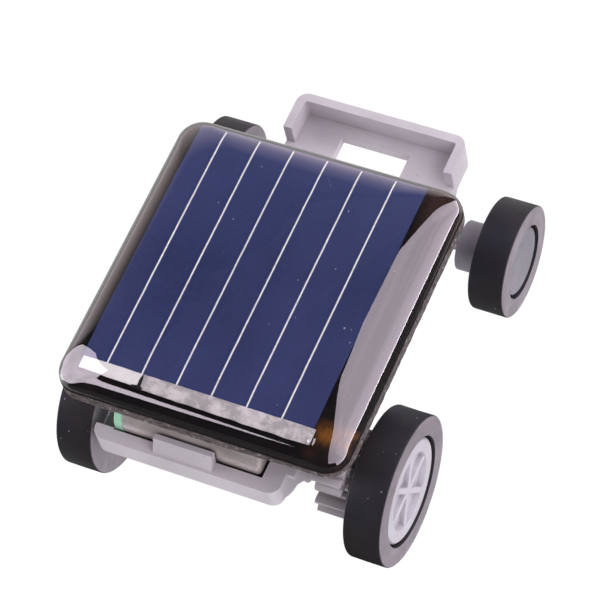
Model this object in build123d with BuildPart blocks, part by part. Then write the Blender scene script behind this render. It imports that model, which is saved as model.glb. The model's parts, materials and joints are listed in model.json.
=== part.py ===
from build123d import *
import math
import os

# Miniature solar toy car. Millimetres. +X is the car's right, +Y is forward, +Z is up.
# The origin is on the ground, below the centre of the car's outer box.

os.makedirs("parts", exist_ok=True)

# ---------------------------------------------------------------- driving dimensions

FIT_GAP = 0.05                  # radial running gap between a shaft and its hole
OVERLAP = 0.10                  # how far features of one moulding reach into each other

# wheels and axles
REAR_Y, FRONT_Y = -9.35, 8.75   # axle positions
REAR_R, FRONT_R = 4.90, 3.74    # tyre radii, which are also the axle heights
REAR_FACE_X, FRONT_FACE_X = 11.05, 11.16    # outer faces of the tyres
REAR_TYRE_W, FRONT_TYRE_W = 2.48, 2.39
REAR_BARREL_R, FRONT_BARREL_R = 2.95, 2.00  # hub barrel, inside the tyre
REAR_DISC_R, FRONT_DISC_R = 3.44, 2.30      # hub disc, seen from the side
DISC_GAP = 0.15                 # ring of shadow between the disc and the tyre
DISC_T = 0.50
DISC_INSET = 0.12               # hub disc below the tyre's face
AXLE_R = 0.50
AXLE_END_INSET = 0.90           # axle's end below the tyre's face
SPOKES = 6
SPOKE_W, SPOKE_BOSS_R, SPOKE_DROP, SPOKE_ROOT = 0.40, 0.50, 0.05, 0.05
REAR_RECESS_R, REAR_RECESS, RECESS_DRAFT = 2.55, 0.45, 0.10
FRONT_DISH_R, FRONT_DISH = 1.70, 0.32
HUB_BACK = 0.10                 # hub's back edge inside the tyre's inner face
HUB_BOSS_R, HUB_RING, HUB_WEB = 1.20, 0.50, 0.95
HUB_LONG_BOSS_R, FRONT_BOSS_END = 1.65, 7.00
SHOULDER = 0.12                 # bevel round the edges of the tyres
EDGE_BEVEL = 0.12               # bevel round the hub discs
AXLE_CHAMFER = 0.10

# gear pair
MODULE = 0.325
GEAR_TEETH, PINION_TEETH = 16, 8
GEAR_TIP_R, GEAR_ROOT_R = 2.90, 2.19
PINION_TIP_R, PINION_ROOT_R = 1.60, 0.87
PINION_UNDERCUT = 0.12          # how much the pinion's teeth narrow below the base circle, in radians
PRESSURE_ANGLE = math.radians(20)
BACKLASH = 0.05
TOOTH_ROOT = 0.05               # how far the teeth reach into the root disc
CENTRE_DISTANCE = MODULE * (GEAR_TEETH + PINION_TEETH) / 2
GEAR_X0, GEAR_X1 = 5.80, 7.90
PINION_X0, PINION_X1 = 6.25, 8.05
GEAR_COLLAR_R, GEAR_COLLAR_X0 = 0.90, 4.65

# motor, lying across the car above the rear axle
MOTOR_Y = REAR_Y - 1.55
MOTOR_Z = REAR_R + math.sqrt(CENTRE_DISTANCE ** 2 - (MOTOR_Y - REAR_Y) ** 2)
CAN_R, CAN_WALL = 2.00, 0.20
CAN_X0, CAN_X1 = -6.40, 2.95
CAP_X0, CAP_PLUG = -6.95, 0.90
SHAFT_R = 0.35
SHAFT_X0, SHAFT_X1 = -6.60, 8.20
BUSH_R, BUSH_X0, BUSH_X1 = 0.65, 1.70, 3.10
MAGNET_R, MAGNET_BORE = 1.10, 0.50
MAGNET_X0, MAGNET_X1 = -4.30, 1.70
COIL_R, COIL_WALL = 1.60, 0.30
COIL_X0, COIL_X1 = -5.00, 1.30
COMMUTATOR_R, COMMUTATOR_X0, COMMUTATOR_X1 = 0.60, -5.45, -5.05
CAN_ROUND = 0.30
CAP_HOLLOW_R = 1.45
SHAFT_CHAMFER = 0.06
BRUSH_T, BRUSH_W, BRUSH_GAP = 0.08, 0.50, 0.02
TERMINAL_X0, TERMINAL_Y, TERMINAL_W, TERMINAL_T, TERMINAL_Z = -7.75, 0.60, 0.60, 0.15, 9.55

# chassis
BODY_X0, BODY_X1 = -6.25, 5.05      # outer faces of the side rails
RAIL_W = 0.90
BODY_Z0, RAIL_TOP = 2.90, 6.20
FLOOR_T = 0.80
WALL_Y0, WALL_Y1 = -7.90, -6.90     # cross wall in front of the motor
RAIL_Y1 = 12.70
TUB_Y1 = 7.20                       # front end of the tub's floor
TRAY_X0, TRAY_X1 = -6.42, 5.48      # front bumper tray
TRAY_Y0, TRAY_RIM_Y0, TRAY_Y1 = 9.90, 11.35, 14.25
TRAY_Z0, TRAY_FLOOR, TRAY_RIM = 5.20, 5.90, 7.50
TRAY_WALL, TRAY_CORNER = 0.60, 0.80
WINDOW_X0, WINDOW_X1 = -2.98, 1.78
WINDOW_Y0, WINDOW_Y1 = 10.30, 12.70
BAY_X0, BAY_X1 = -8.20, 4.47        # rear motor bay
BAY_Y0 = -13.90
BAY_CAVITY_X0, BAY_CAVITY_X1 = -7.00, 3.15
BAY_CAVITY_Y0 = -13.05
BAY_Z0, BAY_FLOOR, BAY_RIM = 6.80, 7.30, 8.50
BAY_CORNER = 0.75
BAY_GATE_Y0 = -12.95                # open left end of the bay, for the motor's terminals
CRADLE_R = 2.75
BEARING_R = 1.45
TAB_X0, TAB_X1 = -3.95, 0.05       # rear tab that keeps the motor in
TAB_TOP = 9.55
TAB_SETBACK, TAB_LEAN, TAB_TIP = 0.10, 0.16, 0.35   # its foot, its lean and the thickness of its tip
POST_X0, POST_X1 = -5.00, 3.80      # two posts that carry the panel
POST_T = 1.20
PAD_T = 0.40

NOSE_CUT = 0.90                     # corner cut off below the rails' front ends
POCKET_CORNER = 0.20
CHEEK_Y0 = -12.60                   # rear corner of the end walls
WING_DROP = 1.60                    # cross wall's left wing below the bay
COLLAR_R, COLLAR_T, NOTCH_R = 1.45, 0.48, 0.75
GUSSET_T, GUSSET_L, GUSSET_DROP = 0.80, 1.60, 1.20
FRONT_BOSS_R, FRONT_BOSS_X0, FRONT_BOSS_X1 = 0.95, -6.65, 5.90

# solar panel
PANEL_X, PANEL_Y = -0.70, -2.96     # centre of the panel
PANEL_W, PANEL_L = 19.40, 20.42
PANEL_CORNER = 1.50
BOARD_Z0, BOARD_T = 11.25, 1.20
RESIN_T, RESIN_ROUND = 1.50, 1.15
CELL_X0, CELL_W = -9.05, 15.38
CELL_Y1, CELL_L = 6.65, 18.30
CELL_T = 0.20
FINGERS, FINGER_PITCH = 6, 2.334
FINGER_X0, FINGER_W, FINGER_L, FINGER_T = -7.372, 0.13, 17.54, 0.04
RIBBON_W, RIBBON_T = 1.00, 0.10

FINGER_MARGIN = 0.10            # from the fingers' far ends to the cell's edge
RIBBON_MARGIN, RIBBON_TAIL = 0.10, 0.18     # ribbon inside the cell's left edge and past its right
# (x from the ribbon's right end, y from its near edge, radius)
SOLDER_BLOBS = ((-0.22, 0.25, 0.20), (-0.20, 0.72, 0.20), (-12.1, 0.25, 0.24))
RESIN_INSET = 0.06

# wiring
PLUS_PAD, MINUS_PAD = (-0.30, -9.60), (-3.90, -11.40)
SOLDER_R = 0.45
LEAD_R, LEAD_Z, LEAD_BEND = 0.15, 10.82, 0.50
LEAD_START, LEAD_TURN, LEAD_DIP, LEAD_END = 0.40, 1.60, 0.35, 0.20   # its run from pad to terminal

POST_TOP = BOARD_Z0 - PAD_T
BOARD_TOP = BOARD_Z0 + BOARD_T
CELL_TOP = BOARD_TOP + CELL_T


def save(builder, name):
    """Label a finished piece and write its STEP file."""
    builder.part.label = name
    export_step(builder.part, f"parts/{name}.step")


def box(x0, x1, y0, y1, z0, z1, mode=Mode.ADD):
    """A box between two corners, inside the current part."""
    centre = ((x0 + x1) / 2, (y0 + y1) / 2, (z0 + z1) / 2)
    with Locations(centre):
        Box(x1 - x0, y1 - y0, z1 - z0, mode=mode)


def rod(y, z, radius, x0, x1, mode=Mode.ADD):
    """A cylinder along X, inside the current part."""
    with BuildSketch(Plane.YZ.offset(x0)) as section:
        with Locations((y, z)):
            Circle(radius)
    extrude(section.sketch, amount=x1 - x0, mode=mode)


# ---------------------------------------------------------------- chassis

with BuildPart() as chassis:
    # tub: a floor and two side rails, each with its lower front corner cut off
    box(BODY_X0, BODY_X1, WALL_Y0, TUB_Y1, BODY_Z0, BODY_Z0 + FLOOR_T)
    for x0 in (BODY_X0, BODY_X1 - RAIL_W):
        with BuildSketch(Plane.YZ.offset(x0)):
            with Locations(((WALL_Y0 + RAIL_Y1) / 2, (BODY_Z0 + RAIL_TOP) / 2)):
                Rectangle(RAIL_Y1 - WALL_Y0, RAIL_TOP - BODY_Z0)
            with Locations((RAIL_Y1, BODY_Z0)):
                Rectangle(2 * NOSE_CUT, 2 * NOSE_CUT, rotation=45, mode=Mode.SUBTRACT)
        extrude(amount=RAIL_W)

    # front bumper tray: a floor, a rim round three sides and a window
    tray_cx, tray_w = (TRAY_X0 + TRAY_X1) / 2, TRAY_X1 - TRAY_X0
    with BuildSketch(Plane.XY.offset(TRAY_Z0)) as tray_outline:
        with Locations((tray_cx, (TRAY_Y0 + TRAY_Y1) / 2)):
            Rectangle(tray_w, TRAY_Y1 - TRAY_Y0)
        fillet(tray_outline.vertices().group_by(Axis.Y)[-1], TRAY_CORNER)
    extrude(amount=TRAY_RIM - TRAY_Z0)
    with BuildSketch(Plane.XY.offset(TRAY_FLOOR)) as tray_pocket:
        with Locations((tray_cx, (TRAY_Y0 + TRAY_Y1) / 2 - TRAY_WALL)):
            Rectangle(tray_w - 2 * TRAY_WALL, TRAY_Y1 - TRAY_Y0)
        fillet(tray_pocket.vertices().group_by(Axis.Y)[-1], POCKET_CORNER)
    extrude(amount=TRAY_RIM, mode=Mode.SUBTRACT)
    box(TRAY_X0, TRAY_X1, TRAY_Y0 - 1, TRAY_RIM_Y0, TRAY_FLOOR, TRAY_RIM, mode=Mode.SUBTRACT)
    box(WINDOW_X0, WINDOW_X1, WINDOW_Y0, WINDOW_Y1, TRAY_Z0 - 1, TRAY_RIM, mode=Mode.SUBTRACT)

    # motor bay: rim, ledge, cradle and the two end walls that carry the rear axle
    bay_cx, bay_w = (BAY_X0 + BAY_X1) / 2, BAY_X1 - BAY_X0
    with BuildSketch(Plane.XY.offset(BAY_Z0)) as bay_outline:
        with Locations((bay_cx, (BAY_Y0 + WALL_Y1) / 2)):
            Rectangle(bay_w, WALL_Y1 - BAY_Y0)
        fillet(bay_outline.vertices().group_by(Axis.Y)[0], BAY_CORNER)
    extrude(amount=BAY_FLOOR - BAY_Z0)
    rod(MOTOR_Y, MOTOR_Z, CRADLE_R, BAY_X0, BAY_X1)
    box(BAY_X0, BAY_X1, BAY_Y0, WALL_Y1, BAY_FLOOR, MOTOR_Z + CRADLE_R, mode=Mode.SUBTRACT)
    with BuildSketch(Plane.XY.offset(BAY_FLOOR)) as bay_walls:
        with Locations((bay_cx, (BAY_Y0 + WALL_Y1) / 2)):
            Rectangle(bay_w, WALL_Y1 - BAY_Y0)
        fillet(bay_walls.vertices().group_by(Axis.Y)[0], BAY_CORNER)
        with Locations(((BAY_CAVITY_X0 + BAY_CAVITY_X1) / 2, (BAY_CAVITY_Y0 + WALL_Y0) / 2)):
            Rectangle(BAY_CAVITY_X1 - BAY_CAVITY_X0, WALL_Y0 - BAY_CAVITY_Y0, mode=Mode.SUBTRACT)
    extrude(amount=BAY_RIM - BAY_FLOOR)
    box(BAY_X0, BAY_CAVITY_X0, BAY_GATE_Y0, WALL_Y0, BAY_FLOOR, BAY_RIM, mode=Mode.SUBTRACT)
    rod(MOTOR_Y, MOTOR_Z, CAN_R + FIT_GAP, BAY_CAVITY_X0, BAY_CAVITY_X1, mode=Mode.SUBTRACT)
    for x0, x1 in ((BAY_X0, BAY_CAVITY_X0), (BAY_CAVITY_X1, BAY_X1)):
        with BuildSketch(Plane.YZ.offset(x0)):
            with BuildLine():
                Polyline(
                    (CHEEK_Y0, BAY_Z0 + OVERLAP),
                    (WALL_Y1, BAY_Z0 + OVERLAP),
                    (REAR_Y + BEARING_R, REAR_R),
                    (REAR_Y - BEARING_R, REAR_R),
                    close=True,
                )
            make_face()
            with Locations((REAR_Y, REAR_R)):
                Circle(BEARING_R)
        extrude(amount=x1 - x0)
    box(BODY_X0, BAY_X1, WALL_Y0, WALL_Y1, BODY_Z0, BAY_RIM)
    box(BAY_X0, BODY_X0, WALL_Y0, WALL_Y1, BAY_Z0 - WING_DROP, BAY_RIM)

    # shaft notch and its collar on the right-hand end wall
    rod(MOTOR_Y, MOTOR_Z, COLLAR_R, BAY_X1, BAY_X1 + COLLAR_T)
    box(BAY_X1, BAY_X1 + COLLAR_T, BAY_Y0, WALL_Y1, BAY_RIM, MOTOR_Z + COLLAR_R, mode=Mode.SUBTRACT)
    rod(MOTOR_Y, MOTOR_Z, NOTCH_R, BAY_CAVITY_X1, BAY_X1 + COLLAR_T, mode=Mode.SUBTRACT)

    # rear tab, leaning forward over the motor
    with BuildSketch(Plane.YZ.offset(TAB_X0)):
        with BuildLine():
            Polyline(
                (BAY_Y0 + TAB_SETBACK, BAY_RIM - OVERLAP),
                (BAY_CAVITY_Y0, BAY_RIM - OVERLAP),
                (BAY_CAVITY_Y0 + TAB_LEAN, TAB_TOP),
                (BAY_CAVITY_Y0 + TAB_LEAN - TAB_TIP, TAB_TOP),
                close=True,
            )
        make_face()
    extrude(amount=TAB_X1 - TAB_X0)

    # posts for the panel, with gussets on the tub's floor
    for y0 in (WALL_Y0, TUB_Y1 - POST_T):
        box(POST_X0, POST_X1, y0, y0 + POST_T, BODY_Z0, POST_TOP)
    for x in (POST_X0, (POST_X0 + POST_X1) / 2 - GUSSET_T / 2, POST_X1 - GUSSET_T):
        for foot_y, wall_y in (
            (WALL_Y0 + POST_T + GUSSET_L, WALL_Y0 + POST_T),
            (TUB_Y1 - POST_T - GUSSET_L, TUB_Y1 - POST_T),
        ):
            with BuildSketch(Plane.YZ.offset(x)):
                with BuildLine():
                    Polyline(
                        (foot_y, BODY_Z0 + FLOOR_T - OVERLAP),
                        (wall_y, BODY_Z0 + FLOOR_T - OVERLAP),
                        (wall_y, POST_TOP - GUSSET_DROP),
                        close=True,
                    )
                make_face()
            extrude(amount=GUSSET_T)

    # bearing bosses and holes of both axles
    rod(FRONT_Y, FRONT_R, FRONT_BOSS_R, FRONT_BOSS_X0, BODY_X0)
    rod(FRONT_Y, FRONT_R, FRONT_BOSS_R, BODY_X1, FRONT_BOSS_X1)
    rod(FRONT_Y, FRONT_R, AXLE_R + FIT_GAP, FRONT_BOSS_X0, FRONT_BOSS_X1, mode=Mode.SUBTRACT)
    rod(REAR_Y, REAR_R, AXLE_R + FIT_GAP, BAY_X0, BAY_X1, mode=Mode.SUBTRACT)

save(chassis, "chassis")

# ---------------------------------------------------------------- wheels


def profile_plane(axle_y, axle_z):
    """Plane through an axle, with X along the car's X and Y up: wheel profiles are turned in it."""
    return Plane(origin=(0, axle_y, axle_z), x_dir=(1, 0, 0), z_dir=(0, -1, 0))


def turn(points, axle_y, axle_z, side, mode=Mode.ADD):
    """Turn a closed profile of (distance from the car's middle, radius) points about an axle."""
    with BuildSketch(profile_plane(axle_y, axle_z)) as profile:
        with BuildLine():
            Polyline(*[(side * x, r) for x, r in points], close=True)
        make_face()
    revolve(profile.sketch, axis=Axis((0, axle_y, axle_z), (1, 0, 0)), mode=mode)


def tyre_profile(face_x, width, radius, barrel_r, disc_r):
    """Flat-treaded tyre with bevelled shoulders and a step that takes the hub's disc."""
    inner = face_x - width
    step = face_x - DISC_INSET - DISC_T
    opening = disc_r + DISC_GAP
    return [
        (inner, barrel_r + SHOULDER),
        (inner + SHOULDER, barrel_r),
        (step, barrel_r),
        (step, opening),
        (face_x - SHOULDER / 2, opening),
        (face_x, opening + SHOULDER / 2),
        (face_x, radius - SHOULDER),
        (face_x - SHOULDER, radius),
        (inner + SHOULDER, radius),
        (inner, radius - SHOULDER),
    ]


def rear_hub(side):
    """Six-spoked rear hub: barrel, disc, spoked recess outside and hollow back."""
    face = REAR_FACE_X - DISC_INSET
    back = REAR_FACE_X - REAR_TYRE_W + HUB_BACK
    end = REAR_FACE_X - AXLE_END_INSET
    with BuildPart() as hub:
        turn(
            [
                (back, AXLE_R),
                (back, HUB_BOSS_R),
                (face - HUB_WEB, HUB_BOSS_R),
                (face - HUB_WEB, REAR_BARREL_R - HUB_RING),
                (back, REAR_BARREL_R - HUB_RING),
                (back, REAR_BARREL_R),
                (face - DISC_T, REAR_BARREL_R),
                (face - DISC_T, REAR_DISC_R),
                (face - EDGE_BEVEL, REAR_DISC_R),
                (face, REAR_DISC_R - EDGE_BEVEL),
                (face, REAR_RECESS_R),
                (face - REAR_RECESS, REAR_RECESS_R - RECESS_DRAFT),
                (face - REAR_RECESS, 0),
                (end, 0),
                (end, AXLE_R),
            ],
            REAR_Y,
            REAR_R,
            side,
        )
        spoke_plane = Plane(
            origin=(side * (face - REAR_RECESS - SPOKE_ROOT), REAR_Y, REAR_R),
            x_dir=(0, 1, 0),
            z_dir=(side, 0, 0),
        )
        with BuildSketch(spoke_plane) as star:
            Circle(SPOKE_BOSS_R)
            with PolarLocations(REAR_RECESS_R / 2, SPOKES):
                Rectangle(REAR_RECESS_R + SPOKE_ROOT, SPOKE_W)
        extrude(star.sketch, amount=REAR_RECESS - SPOKE_DROP)
    return hub


def front_hub(side):
    """Dished front hub with a long boss on the inside."""
    face = FRONT_FACE_X - DISC_INSET
    back = FRONT_FACE_X - FRONT_TYRE_W + HUB_BACK
    end = FRONT_FACE_X - AXLE_END_INSET
    with BuildPart() as hub:
        turn(
            [
                (FRONT_BOSS_END, AXLE_R),
                (FRONT_BOSS_END, HUB_LONG_BOSS_R),
                (back, HUB_LONG_BOSS_R),
                (back, FRONT_BARREL_R),
                (face - DISC_T, FRONT_BARREL_R),
                (face - DISC_T, FRONT_DISC_R),
                (face - EDGE_BEVEL, FRONT_DISC_R),
                (face, FRONT_DISC_R - EDGE_BEVEL),
                (face, 0),
                (end, 0),
                (end, AXLE_R),
            ],
            FRONT_Y,
            FRONT_R,
            side,
        )
        ball_r = (FRONT_DISH_R ** 2 + FRONT_DISH ** 2) / (2 * FRONT_DISH)
        with Locations((side * (face - FRONT_DISH + ball_r), FRONT_Y, FRONT_R)):
            Sphere(ball_r, rotation=(0, 90, 0), mode=Mode.SUBTRACT)
    return hub


def tyre(face_x, width, radius, barrel_r, disc_r, axle_y, side):
    with BuildPart() as ring:
        turn(tyre_profile(face_x, width, radius, barrel_r, disc_r), axle_y, radius, side)
    return ring


for side, word in ((-1, "left"), (1, "right")):
    save(rear_hub(side), f"rear_hub_{word}")
    save(front_hub(side), f"front_hub_{word}")
    rear_size = (REAR_FACE_X, REAR_TYRE_W, REAR_R, REAR_BARREL_R, REAR_DISC_R, REAR_Y)
    front_size = (FRONT_FACE_X, FRONT_TYRE_W, FRONT_R, FRONT_BARREL_R, FRONT_DISC_R, FRONT_Y)
    save(tyre(*rear_size, side), f"rear_tyre_{word}")
    save(tyre(*front_size, side), f"front_tyre_{word}")

for name, axle_y, axle_z, face_x in (
    ("rear_axle", REAR_Y, REAR_R, REAR_FACE_X),
    ("front_axle", FRONT_Y, FRONT_R, FRONT_FACE_X),
):
    half_length = face_x - AXLE_END_INSET
    with BuildPart() as axle:
        rod(axle_y, axle_z, AXLE_R, -half_length, half_length)
        chamfer(axle.edges().filter_by(GeomType.CIRCLE), AXLE_CHAMFER)
    save(axle, name)

# ---------------------------------------------------------------- gear pair


def involute(angle):
    return math.tan(angle) - angle


def tooth_half_angle(radius, teeth, root_r, undercut):
    """Half of a tooth's angular width at a radius, from the involute of its base circle."""
    pitch_r = MODULE * teeth / 2
    base_r = pitch_r * math.cos(PRESSURE_ANGLE)
    at_base = math.pi / (2 * teeth) - BACKLASH / (2 * pitch_r) + involute(PRESSURE_ANGLE)
    if radius > base_r:
        return at_base - involute(math.acos(base_r / radius))
    return at_base - undercut * (base_r - radius) / (base_r - root_r)


def gear_face(teeth, tip_r, root_r, undercut, phase):
    """One gear's outline in the current sketch: a root disc and one face for each tooth."""
    base_r = MODULE * teeth / 2 * math.cos(PRESSURE_ANGLE)
    low = max(base_r, root_r)
    radii = [root_r - TOOTH_ROOT, root_r] + [low + (tip_r - low) * k / 4 for k in range(5)]
    if low == root_r:
        radii.pop(1)
    Circle(root_r)
    for tooth in range(teeth):
        middle = phase + 2 * math.pi * tooth / teeth
        flank = []
        for r in radii:
            half = tooth_half_angle(max(r, root_r), teeth, root_r, undercut)
            flank.append((r, half))
        right = [(r * math.cos(middle - a), r * math.sin(middle - a)) for r, a in flank]
        left = [(r * math.cos(middle + a), r * math.sin(middle + a)) for r, a in reversed(flank)]
        Polygon(*right, *left, align=None)


# A gap of the wheel's gear and a tooth of the pinion meet on the line between the two shafts.
mesh_angle = math.atan2(MOTOR_Z - REAR_R, MOTOR_Y - REAR_Y)

with BuildPart() as drive_gear:
    with BuildSketch(Plane(origin=(GEAR_X0, REAR_Y, REAR_R), x_dir=(0, 1, 0), z_dir=(1, 0, 0))):
        gear_face(GEAR_TEETH, GEAR_TIP_R, GEAR_ROOT_R, 0, mesh_angle + math.pi / GEAR_TEETH)
    extrude(amount=GEAR_X1 - GEAR_X0)
    rod(REAR_Y, REAR_R, GEAR_COLLAR_R, GEAR_COLLAR_X0, GEAR_X0)
    rod(REAR_Y, REAR_R, HUB_BOSS_R, GEAR_X1, REAR_FACE_X - REAR_TYRE_W + HUB_BACK)
    rod(REAR_Y, REAR_R, AXLE_R, GEAR_COLLAR_X0, REAR_FACE_X, mode=Mode.SUBTRACT)
save(drive_gear, "drive_gear")

with BuildPart() as motor_pinion:
    with BuildSketch(Plane(origin=(PINION_X0, MOTOR_Y, MOTOR_Z), x_dir=(0, 1, 0), z_dir=(1, 0, 0))):
        gear_face(PINION_TEETH, PINION_TIP_R, PINION_ROOT_R, PINION_UNDERCUT, mesh_angle + math.pi)
    extrude(amount=PINION_X1 - PINION_X0)
    rod(MOTOR_Y, MOTOR_Z, SHAFT_R, PINION_X0, PINION_X1, mode=Mode.SUBTRACT)
save(motor_pinion, "motor_pinion")

# ---------------------------------------------------------------- motor

with BuildPart() as motor_can:
    rod(MOTOR_Y, MOTOR_Z, CAN_R, CAN_X0, CAN_X1)
    fillet(motor_can.faces().sort_by(Axis.X)[-1].edges(), CAN_ROUND)
    rod(MOTOR_Y, MOTOR_Z, CAN_R - CAN_WALL, CAN_X0, CAN_X1 - CAN_WALL, mode=Mode.SUBTRACT)
    rod(MOTOR_Y, MOTOR_Z, BUSH_R, CAN_X1 - CAN_WALL, CAN_X1, mode=Mode.SUBTRACT)
save(motor_can, "motor_can")

with BuildPart() as motor_end_cap:
    rod(MOTOR_Y, MOTOR_Z, CAN_R, CAP_X0, CAN_X0)
    rod(MOTOR_Y, MOTOR_Z, CAN_R - CAN_WALL, CAN_X0, CAN_X0 + CAP_PLUG)
    rod(MOTOR_Y, MOTOR_Z, CAP_HOLLOW_R, CAN_X0, CAN_X0 + CAP_PLUG, mode=Mode.SUBTRACT)
    rod(MOTOR_Y, MOTOR_Z, SHAFT_R + FIT_GAP, SHAFT_X0 - FIT_GAP, CAN_X0, mode=Mode.SUBTRACT)
    for side in (-1, 1):
        y = MOTOR_Y + side * TERMINAL_Y
        box(
            CAP_X0, CAN_X0, y - TERMINAL_W / 2, y + TERMINAL_W / 2,
            TERMINAL_Z, TERMINAL_Z + TERMINAL_T, mode=Mode.SUBTRACT,
        )
save(motor_end_cap, "motor_end_cap")

with BuildPart() as motor_bush:
    rod(MOTOR_Y, MOTOR_Z, BUSH_R, BUSH_X0, BUSH_X1)
    rod(MOTOR_Y, MOTOR_Z, SHAFT_R + FIT_GAP, BUSH_X0, BUSH_X1, mode=Mode.SUBTRACT)
save(motor_bush, "motor_bush")

with BuildPart() as field_magnet:
    rod(MOTOR_Y, MOTOR_Z, MAGNET_R, MAGNET_X0, MAGNET_X1)
    rod(MOTOR_Y, MOTOR_Z, MAGNET_BORE, MAGNET_X0, MAGNET_X1, mode=Mode.SUBTRACT)
save(field_magnet, "field_magnet")

with BuildPart() as rotor_coil:
    rod(MOTOR_Y, MOTOR_Z, COIL_R, COIL_X0, COIL_X1)
    rod(MOTOR_Y, MOTOR_Z, COIL_R - COIL_WALL, COIL_X0 + COIL_WALL, COIL_X1, mode=Mode.SUBTRACT)
    rod(MOTOR_Y, MOTOR_Z, SHAFT_R, COIL_X0, COIL_X0 + COIL_WALL, mode=Mode.SUBTRACT)
save(rotor_coil, "rotor_coil")

with BuildPart() as commutator:
    rod(MOTOR_Y, MOTOR_Z, COMMUTATOR_R, COMMUTATOR_X0, COIL_X0)
    rod(MOTOR_Y, MOTOR_Z, SHAFT_R, COMMUTATOR_X0, COIL_X0, mode=Mode.SUBTRACT)
save(commutator, "commutator")

with BuildPart() as motor_shaft:
    rod(MOTOR_Y, MOTOR_Z, SHAFT_R, SHAFT_X0, SHAFT_X1)
    chamfer(motor_shaft.edges().filter_by(GeomType.CIRCLE), SHAFT_CHAMFER)
save(motor_shaft, "motor_shaft")

with BuildPart() as motor_brushes:
    for side in (-1, 1):
        y = MOTOR_Y + side * (COMMUTATOR_R + BRUSH_GAP + BRUSH_T / 2)
        box(
            CAN_X0, COMMUTATOR_X1, y - BRUSH_T / 2, y + BRUSH_T / 2,
            MOTOR_Z - BRUSH_W / 2, MOTOR_Z + BRUSH_W / 2,
        )
save(motor_brushes, "motor_brushes")

with BuildPart() as motor_terminals:
    for side in (-1, 1):
        y = MOTOR_Y + side * TERMINAL_Y
        box(
            TERMINAL_X0, CAN_X0, y - TERMINAL_W / 2, y + TERMINAL_W / 2,
            TERMINAL_Z, TERMINAL_Z + TERMINAL_T,
        )
save(motor_terminals, "motor_terminals")

# ---------------------------------------------------------------- solar panel


def panel_outline(z, inset=0.0):
    """Rounded rectangle of the panel at height z, drawn in by inset."""
    with BuildSketch(Plane(origin=(PANEL_X, PANEL_Y, z))) as outline:
        RectangleRounded(PANEL_W - 2 * inset, PANEL_L - 2 * inset, PANEL_CORNER - inset)
    return outline.sketch


with BuildPart() as panel_board:
    extrude(panel_outline(BOARD_Z0), amount=BOARD_T)
save(panel_board, "panel_board")

with BuildPart() as solar_cell:
    box(CELL_X0, CELL_X0 + CELL_W, CELL_Y1 - CELL_L, CELL_Y1, BOARD_TOP, CELL_TOP)
save(solar_cell, "solar_cell")

with BuildPart() as cell_fingers:
    for finger in range(FINGERS):
        x = FINGER_X0 + finger * FINGER_PITCH
        box(
            x - FINGER_W / 2, x + FINGER_W / 2, CELL_Y1 - FINGER_L, CELL_Y1 - FINGER_MARGIN,
            CELL_TOP, CELL_TOP + FINGER_T,
        )
save(cell_fingers, "cell_fingers")

ribbon_y0, ribbon_y1 = CELL_Y1 - FINGER_L - RIBBON_W, CELL_Y1 - FINGER_L
ribbon_x0, ribbon_x1 = CELL_X0 + RIBBON_MARGIN, CELL_X0 + CELL_W + RIBBON_TAIL
with BuildPart() as bus_ribbon:
    box(ribbon_x0, ribbon_x1, ribbon_y0, ribbon_y1, CELL_TOP, CELL_TOP + RIBBON_T)
save(bus_ribbon, "bus_ribbon")

with BuildPart() as ribbon_solder:
    for dx, dy, r in SOLDER_BLOBS:
        with Locations((ribbon_x1 + dx, ribbon_y0 + dy, CELL_TOP + RIBBON_T)):
            Sphere(r)
    box(
        ribbon_x0, ribbon_x1 + 1, ribbon_y0 - 1, ribbon_y1 + 1,
        CELL_TOP - 1, CELL_TOP + RIBBON_T, mode=Mode.SUBTRACT,
    )
save(ribbon_solder, "ribbon_solder")

with BuildPart() as panel_resin:
    extrude(panel_outline(BOARD_TOP, RESIN_INSET), amount=RESIN_T)
    fillet(panel_resin.faces().sort_by(Axis.Z)[-1].edges(), RESIN_ROUND)
    for buried in (solar_cell, cell_fingers, bus_ribbon, ribbon_solder):
        add(buried.part, mode=Mode.SUBTRACT)
save(panel_resin, "panel_resin")

with BuildPart() as foam_pads:
    for y0 in (WALL_Y0, TUB_Y1 - POST_T):
        box(POST_X0, POST_X1, y0, y0 + POST_T, POST_TOP, BOARD_Z0)
save(foam_pads, "foam_pads")

with BuildPart() as panel_terminals:
    for x, y in (PLUS_PAD, MINUS_PAD):
        with Locations((x, y, BOARD_Z0)):
            Sphere(SOLDER_R)
    box(BAY_X0, BAY_X1, BAY_Y0, WALL_Y1, BOARD_Z0, BOARD_TOP, mode=Mode.SUBTRACT)
save(panel_terminals, "panel_terminals")

# Leads from the panel's solder pads, over the motor, to the motor's terminals.
for name, pad, side in (("positive_lead", PLUS_PAD, 1), ("negative_lead", MINUS_PAD, -1)):
    terminal_y = MOTOR_Y + side * TERMINAL_Y
    end_x = TERMINAL_X0 + LEAD_END
    route = [
        (pad[0] - LEAD_START, pad[1], LEAD_Z),
        (TERMINAL_X0 + LEAD_TURN, pad[1], LEAD_Z),
        (end_x, terminal_y, LEAD_Z - LEAD_DIP),
        (end_x, terminal_y, TERMINAL_Z + TERMINAL_T),
    ]
    with BuildPart() as lead:
        with BuildLine() as lead_path:
            FilletPolyline(*route, radius=LEAD_BEND)
        with BuildSketch(Plane(origin=route[0], z_dir=(-1, 0, 0))):
            Circle(LEAD_R)
        sweep(path=lead_path.line)
    save(lead, name)
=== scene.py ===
import json
import math
import random

import bmesh
import bpy
from mathutils import Matrix, Vector, noise


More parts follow.
